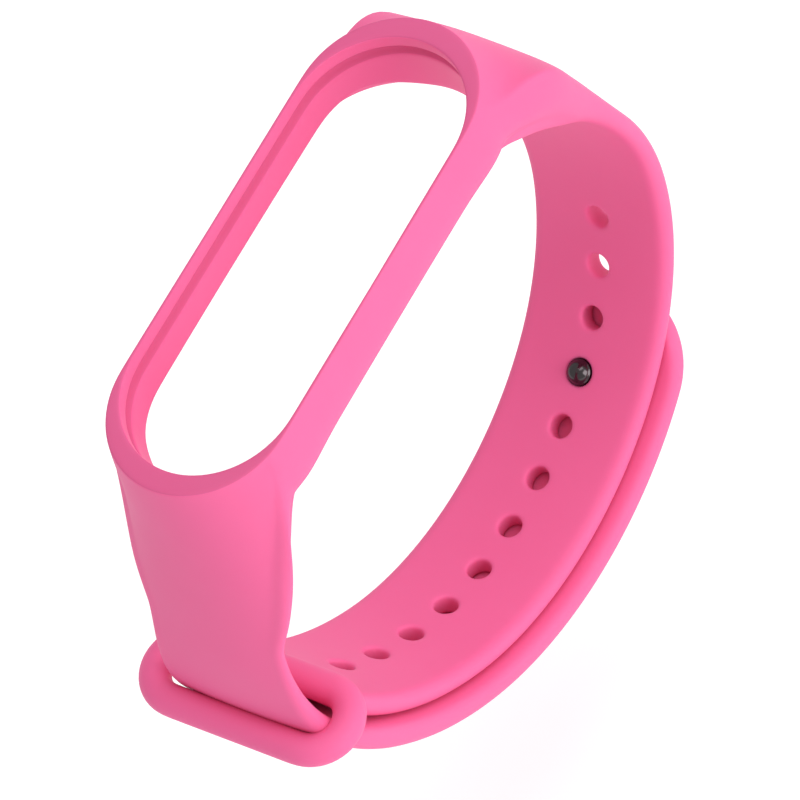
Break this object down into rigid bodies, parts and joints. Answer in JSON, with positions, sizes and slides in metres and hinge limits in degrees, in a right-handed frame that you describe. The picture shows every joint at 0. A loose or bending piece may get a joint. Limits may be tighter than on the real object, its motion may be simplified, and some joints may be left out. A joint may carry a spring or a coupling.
{
  "type": "fitness tracker band",
  "caption": "Closed silicone wrist strap with a stadium opening for a tracker, a perforated arm ending in a keeper loop, and a stud-ended tail that peels off.",
  "frame": {"origin": "wrist centre, in the middle of the closed loop", "axes": "+X along the strap at the tracker, towards the perforated arm; +Y along the wrist; +Z out of the tracker opening"},
  "size_m": [0.0705, 0.0252, 0.0644],
  "materials": {
    "silicone": "matte moulded silicone, soft satin sheen",
    "stud_metal": "polished dark gunmetal plating"
  },
  "bodies": {
    "strap": {"capsule_frame": "silicone", "holes_arm": "silicone", "keeper_loop": "silicone", "plain_arm": "silicone"},
    "tail_root_section": {"tail_root": "silicone"},
    "tail_middle_section": {"tail_middle": "silicone"},
    "tail_tip_section": {"tail_tip": "silicone", "stud_pin": "stud_metal", "stud_cap": "stud_metal"}
  },
  "joints": [
    {"name": "tail_root_flex", "type": "hinge", "parent": "strap", "child": "tail_root_section", "pos_m": [-0.0183, 0, -0.0233], "axis": [0, 1, 0], "range_deg": [0, 6.5]},
    {"name": "tail_middle_flex", "type": "hinge", "parent": "tail_root_section", "child": "tail_middle_section", "pos_m": [-0.00622, 0, -0.02985], "axis": [0, 1, 0], "range_deg": [0, 24]},
    {"name": "tail_peel", "type": "hinge", "parent": "tail_middle_section", "child": "tail_tip_section", "pos_m": [0.0075, 0, -0.0312], "axis": [0, 1, 0], "range_deg": [0, 60], "stiffness_Nm_per_rad": 0.01, "springref_deg": -11.46}
  ],
  "couplings": [
    {"joint": "tail_middle_flex", "follows": "tail_peel", "ratio": 0.39},
    {"joint": "tail_root_flex", "follows": "tail_peel", "ratio": 0.1}
  ]
}
